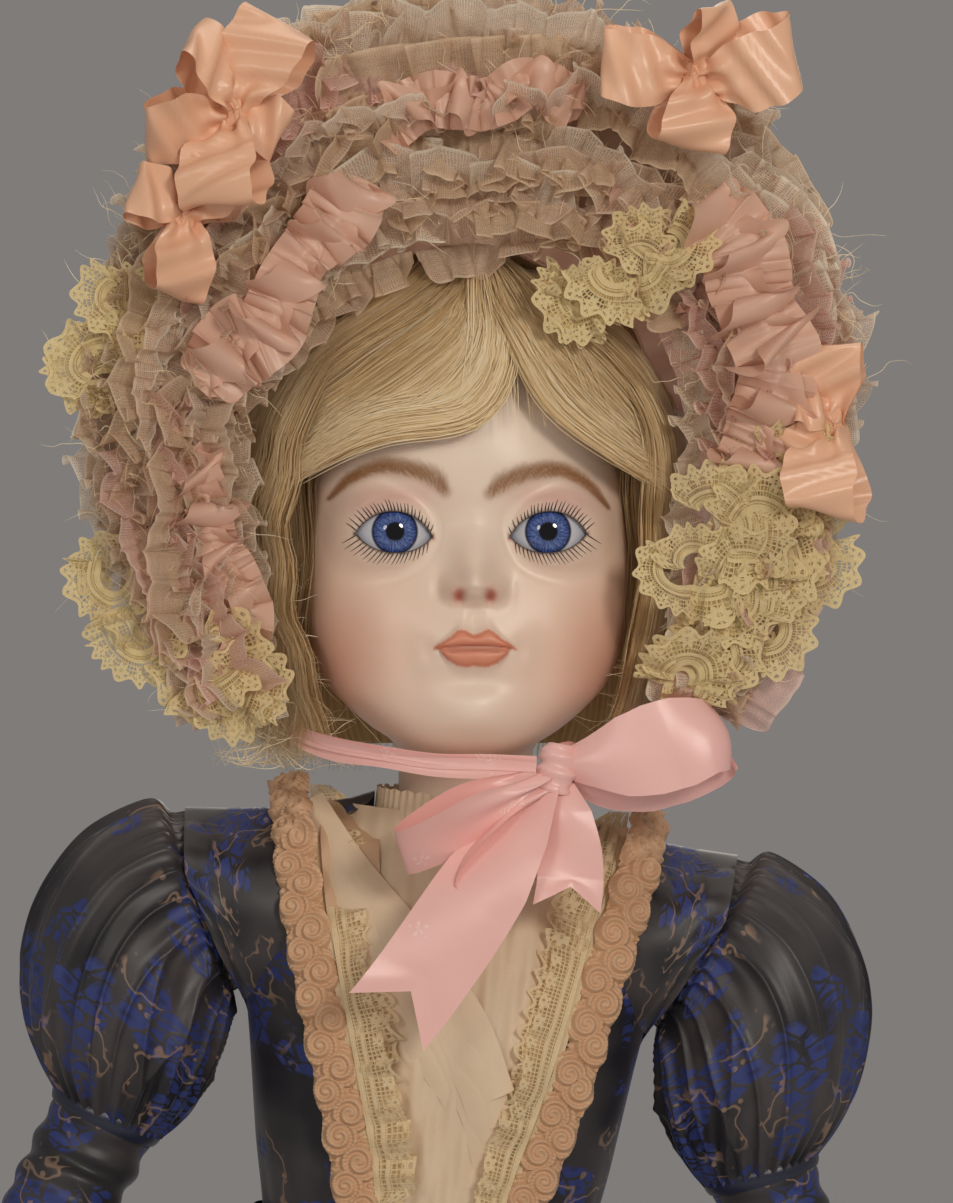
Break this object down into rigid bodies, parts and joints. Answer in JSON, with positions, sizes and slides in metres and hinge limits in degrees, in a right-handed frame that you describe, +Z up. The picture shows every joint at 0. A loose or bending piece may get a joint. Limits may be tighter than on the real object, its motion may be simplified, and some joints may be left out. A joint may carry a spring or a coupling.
{
  "type": "porcelain doll",
  "caption": "Standing porcelain-headed doll with glass eyes, blonde wig, frilled bonnet, ribbon bow and silk dress on a strung, ball-jointed body.",
  "frame": {"origin": "on the floor, midway between the two shoes, under the middle of the skirt", "axes": "+Z up; the doll faces -Y; its own left side is +X"},
  "size_m": [0.282, 0.282, 0.7073],
  "materials": {
    "apricot_ribbon": "ruched silk ribbon",
    "beech": "bare turned wood",
    "bisque": "unglazed, tinted and fired, satin",
    "brocade": "silk figured with blue and tan sprigs",
    "buckram": "stiffened cloth",
    "composition": "painted and varnished, satin",
    "cork": "bare cork",
    "cream_lace": "fine cotton lace",
    "cream_silk": "soft silk",
    "dark_glass_button": "polished",
    "elastic": "cotton-covered",
    "eye_glass": "polished blown glass with a threaded iris",
    "iron": "dull drawn wire",
    "mohair": "fine combed fibre",
    "navy_satin": "silk satin",
    "peach_satin": "glossy satin",
    "pink_satin": "glossy satin with woven sprigs",
    "plaster": "matte",
    "shoe_leather": "soft kid, satin",
    "sole_leather": "hard leather",
    "tulle": "gathered sheer net",
    "white_cotton": "plain weave"
  },
  "bodies": {
    "torso": {"torso_shell": "composition", "arm_elastic": "elastic", "leg_elastic": "elastic", "plastron": "cream_silk", "neckband": "cream_silk", "bodice": "brocade", "lace_left": "cream_lace", "lace_right": "cream_lace", "ruching_left": "apricot_ribbon", "ruching_right": "apricot_ribbon", "waist_sash": "navy_satin", "back_buttons": "dark_glass_button", "skirt": "brocade", "petticoat": "white_cotton"},
    "neck": {"neck_hook": "iron", "neck_button": "beech", "neck_spring": "iron", "neck_washer": "iron"},
    "head": {"head_shell": "bisque", "eye_left": "eye_glass", "eye_right": "eye_glass", "eye_plaster": "plaster", "cork_pate": "cork", "wig": "mohair", "bonnet_crown": "peach_satin", "bonnet_brim": "buckram", "bonnet_ruffle": "tulle", "bonnet_rosettes": "peach_satin", "chin_ribbon": "pink_satin", "bow_knot": "pink_satin", "bow_loops": "pink_satin", "bow_tails": "pink_satin"},
    "shoulder_left": {"shoulder_ball_left": "composition"},
    "upper_arm_left": {"upper_arm_left": "composition", "sleeve_puff_left": "brocade"},
    "forearm_left": {"elbow_ball_left": "composition", "forearm_left": "composition", "sleeve_lower_left": "brocade", "cuff_lace_left": "cream_lace"},
    "thigh_left": {"thigh_left": "composition", "drawers_left": "white_cotton"},
    "lower_leg_left": {"knee_ball_left": "composition", "lower_leg_left": "composition", "stocking_left": "white_cotton", "shoe_left": "shoe_leather", "sole_left": "sole_leather"},
    "shoulder_right": {"shoulder_ball_right": "composition"},
    "upper_arm_right": {"upper_arm_right": "composition", "sleeve_puff_right": "brocade"},
    "forearm_right": {"elbow_ball_right": "composition", "forearm_right": "composition", "sleeve_lower_right": "brocade", "cuff_lace_right": "cream_lace"},
    "thigh_right": {"thigh_right": "composition", "drawers_right": "white_cotton"},
    "lower_leg_right": {"knee_ball_right": "composition", "lower_leg_right": "composition", "stocking_right": "white_cotton", "shoe_right": "shoe_leather", "sole_right": "sole_leather"}
  },
  "joints": [
    {"name": "neck_turn", "type": "hinge", "parent": "torso", "child": "neck", "pos_m": [0, 0.005, 0.484], "axis": [0, 0, 1], "range_deg": [-35, 35]},
    {"name": "head_nod", "type": "hinge", "parent": "neck", "child": "head", "pos_m": [0, 0.005, 0.484], "axis": [1, 0, 0], "range_deg": [-10, 12], "deforming": ["bow_tails"]},
    {"name": "shoulder_swing_left", "type": "hinge", "parent": "torso", "child": "shoulder_left", "pos_m": [0.067, 0.004, 0.447], "axis": [-1, 0, 0], "range_deg": [-30, 90]},
    {"name": "shoulder_lift_left", "type": "hinge", "parent": "shoulder_left", "child": "upper_arm_left", "pos_m": [0.067, 0.004, 0.447], "axis": [0, -1, 0], "range_deg": [-4, 48], "deforming": ["sleeve_puff_left"]},
    {"name": "elbow_bend_left", "type": "hinge", "parent": "upper_arm_left", "child": "forearm_left", "pos_m": [0.09772, 0.004, 0.37097], "axis": [-0.9272, 0, -0.3746], "range_deg": [-15, 70]},
    {"name": "hip_swing_left", "type": "hinge", "parent": "torso", "child": "thigh_left", "pos_m": [0.03, 0.004, 0.28], "axis": [-1, 0, 0], "range_deg": [-18, 24]},
    {"name": "knee_bend_left", "type": "hinge", "parent": "thigh_left", "child": "lower_leg_left", "pos_m": [0.03, 0.004, 0.15], "axis": [1, 0, 0], "range_deg": [0, 40]},
    {"name": "shoulder_swing_right", "type": "hinge", "parent": "torso", "child": "shoulder_right", "pos_m": [-0.067, 0.004, 0.447], "axis": [-1, 0, 0], "range_deg": [-30, 90]},
    {"name": "shoulder_lift_right", "type": "hinge", "parent": "shoulder_right", "child": "upper_arm_right", "pos_m": [-0.067, 0.004, 0.447], "axis": [0, 1, 0], "range_deg": [-4, 48], "deforming": ["sleeve_puff_right"]},
    {"name": "elbow_bend_right", "type": "hinge", "parent": "upper_arm_right", "child": "forearm_right", "pos_m": [-0.09772, 0.004, 0.37097], "axis": [-0.9272, 0, 0.3746], "range_deg": [-15, 70]},
    {"name": "hip_swing_right", "type": "hinge", "parent": "torso", "child": "thigh_right", "pos_m": [-0.03, 0.004, 0.28], "axis": [-1, 0, 0], "range_deg": [-18, 24]},
    {"name": "knee_bend_right", "type": "hinge", "parent": "thigh_right", "child": "lower_leg_right", "pos_m": [-0.03, 0.004, 0.15], "axis": [1, 0, 0], "range_deg": [0, 40]}
  ]
}
